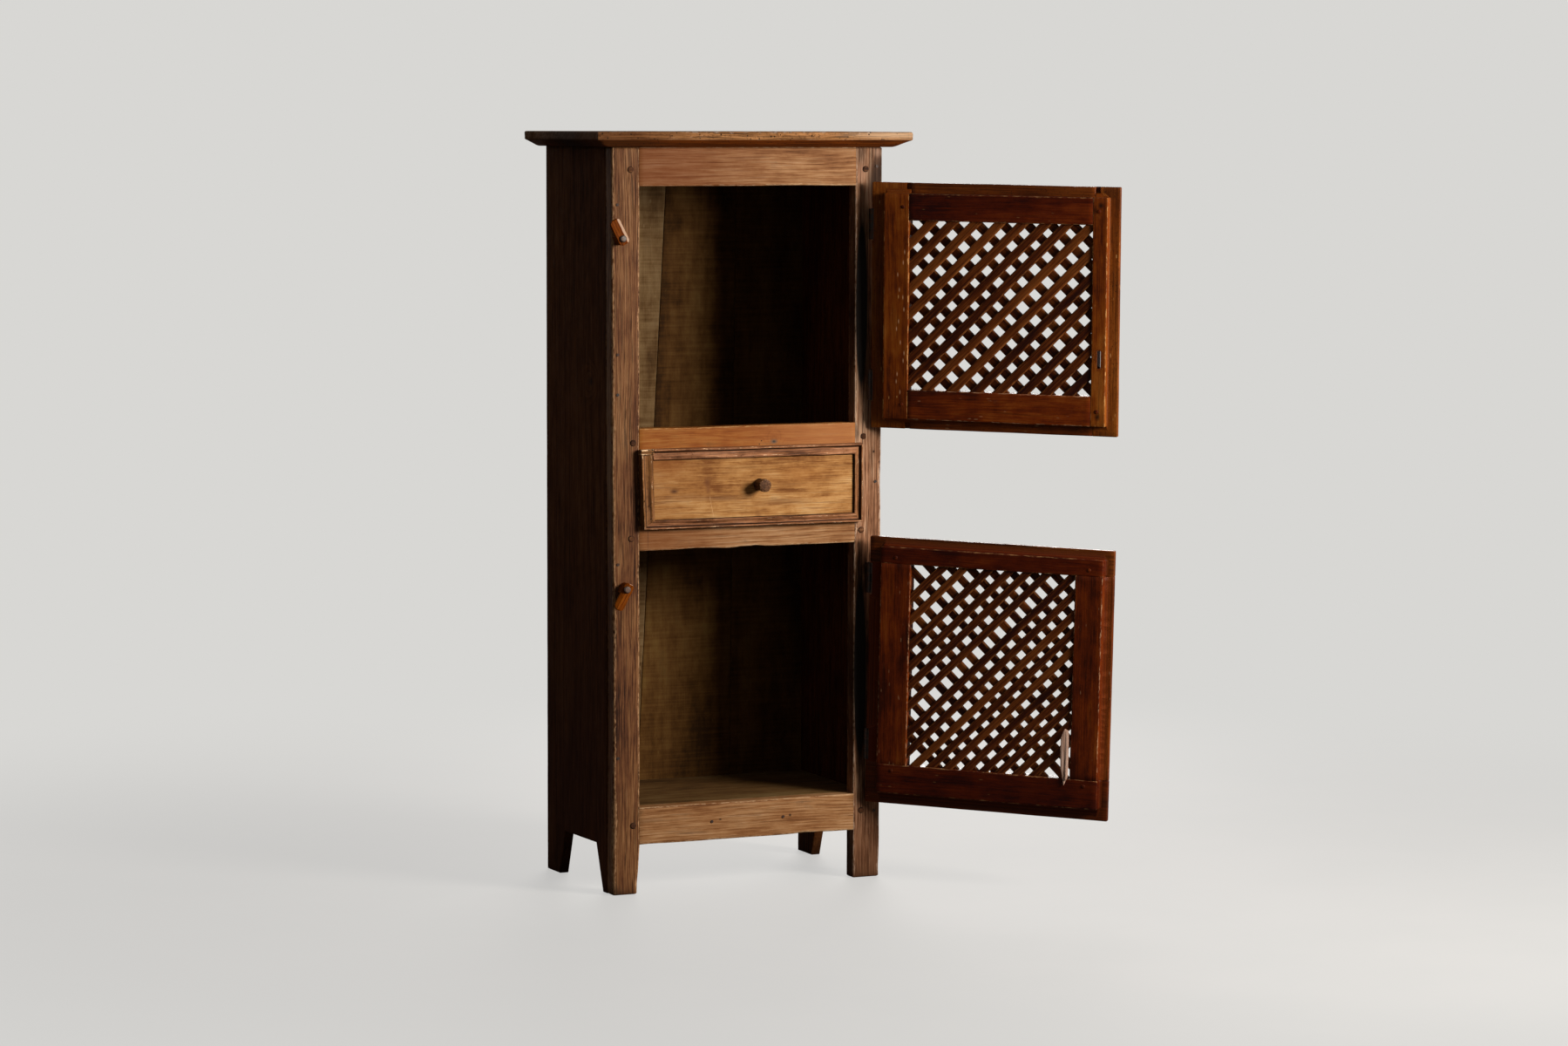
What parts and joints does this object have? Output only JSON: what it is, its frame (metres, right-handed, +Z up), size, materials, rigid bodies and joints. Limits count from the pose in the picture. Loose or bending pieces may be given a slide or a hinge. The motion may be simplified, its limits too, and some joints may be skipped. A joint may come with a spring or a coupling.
{
  "type": "trastero cabinet",
  "caption": "Rustic wooden storage cupboard with hinged lattice doors above and below a drawer, wooden turn buttons, inner shelves and an overhanging top board.",
  "frame": {"origin": "on the floor, under the middle of the bounding box of the whole cabinet with its doors standing open as at rest", "axes": "+Z up, -Y out of the front, +X to the right of someone who faces the front"},
  "size_m": [1.0736, 0.804, 1.65],
  "materials": {
    "frame_wood": "old bare softwood, worn and oiled",
    "top_wood": "old bare softwood with worm holes",
    "side_wood": "dark stained softwood",
    "inner_wood": "rough sawn softwood",
    "drawer_wood": "waxed softwood, honey coloured",
    "moulding_wood": "dark waxed moulding with worn crests",
    "door_wood": "deep red-brown varnish",
    "slat_wood": "worn red-brown varnish",
    "dark_wood": "dark turned hardwood",
    "button_wood": "weathered wood",
    "iron": "dull aged iron"
  },
  "bodies": {
    "carcass": {"top_board": "top_wood", "left_post": "frame_wood", "left_side_board": "side_wood", "left_drawer_guide": "inner_wood", "right_post": "frame_wood", "right_side_board": "side_wood", "right_drawer_guide": "inner_wood", "bottom_rail": "frame_wood", "lower_drawer_rail": "frame_wood", "upper_drawer_rail": "frame_wood", "top_rail": "frame_wood", "floor_board": "inner_wood", "dust_board": "inner_wood", "upper_shelf": "inner_wood", "back_board_left": "inner_wood", "back_board_middle": "inner_wood", "back_board_right": "inner_wood", "frame_pegs": "frame_wood", "carcass_nails": "iron", "hinge_post_screws": "iron", "upper_hinge_post_leaves": "iron", "upper_hinge_pins": "iron", "lower_hinge_post_leaves": "iron", "lower_hinge_pins": "iron", "upper_button_pin": "iron", "lower_button_pin": "iron"},
    "upper_door": {"upper_door_lock_stile": "door_wood", "upper_door_hinge_stile": "door_wood", "upper_door_top_rail": "door_wood", "upper_door_bottom_rail": "door_wood", "upper_door_lattice_back": "slat_wood", "upper_door_lattice_front": "slat_wood", "upper_door_pegs": "door_wood", "upper_door_hinge_leaves": "iron", "upper_door_hinge_screws": "iron"},
    "lower_door": {"lower_door_lock_stile": "door_wood", "lower_door_hinge_stile": "door_wood", "lower_door_top_rail": "door_wood", "lower_door_bottom_rail": "door_wood", "lower_door_lattice_back": "slat_wood", "lower_door_lattice_front": "slat_wood", "lower_door_pegs": "door_wood", "lower_door_hinge_leaves": "iron", "lower_door_hinge_screws": "iron", "lower_door_splint": "drawer_wood"},
    "drawer": {"drawer_front": "drawer_wood", "drawer_left_side": "inner_wood", "drawer_right_side": "inner_wood", "drawer_back": "inner_wood", "drawer_bottom": "inner_wood", "drawer_knob": "dark_wood", "drawer_nails": "iron", "drawer_moulding_bottom": "moulding_wood", "drawer_moulding_right": "moulding_wood", "drawer_moulding_top": "moulding_wood", "drawer_moulding_left": "moulding_wood"},
    "upper_button": {"upper_turn_button": "button_wood"},
    "lower_button": {"lower_turn_button": "button_wood"}
  },
  "joints": [
    {"name": "upper_door_hinge", "type": "hinge", "parent": "carcass", "child": "upper_door", "pos_m": [0.12215, 0.00076, 1.2725], "axis": [0, -0.0206, 0.9998], "range_deg": [-137, 8]},
    {"name": "lower_door_hinge", "type": "hinge", "parent": "carcass", "child": "lower_door", "pos_m": [0.11765, 0.00076, 0.46875], "axis": [0.0084, -0.0183, 0.9998], "range_deg": [-136.5, 8]},
    {"name": "drawer_slide", "type": "slide", "parent": "carcass", "child": "drawer", "axis": [0, -1, 0], "range_m": [0, 0.24]},
    {"name": "upper_button_turn", "type": "hinge", "parent": "carcass", "child": "upper_button", "pos_m": [-0.47035, 0.01176, 1.422], "axis": [0, 1, 0], "continuous": true},
    {"name": "lower_button_turn", "type": "hinge", "parent": "carcass", "child": "lower_button", "pos_m": [-0.46135, 0.01176, 0.6685], "axis": [0, 1, 0], "continuous": true}
  ]
}
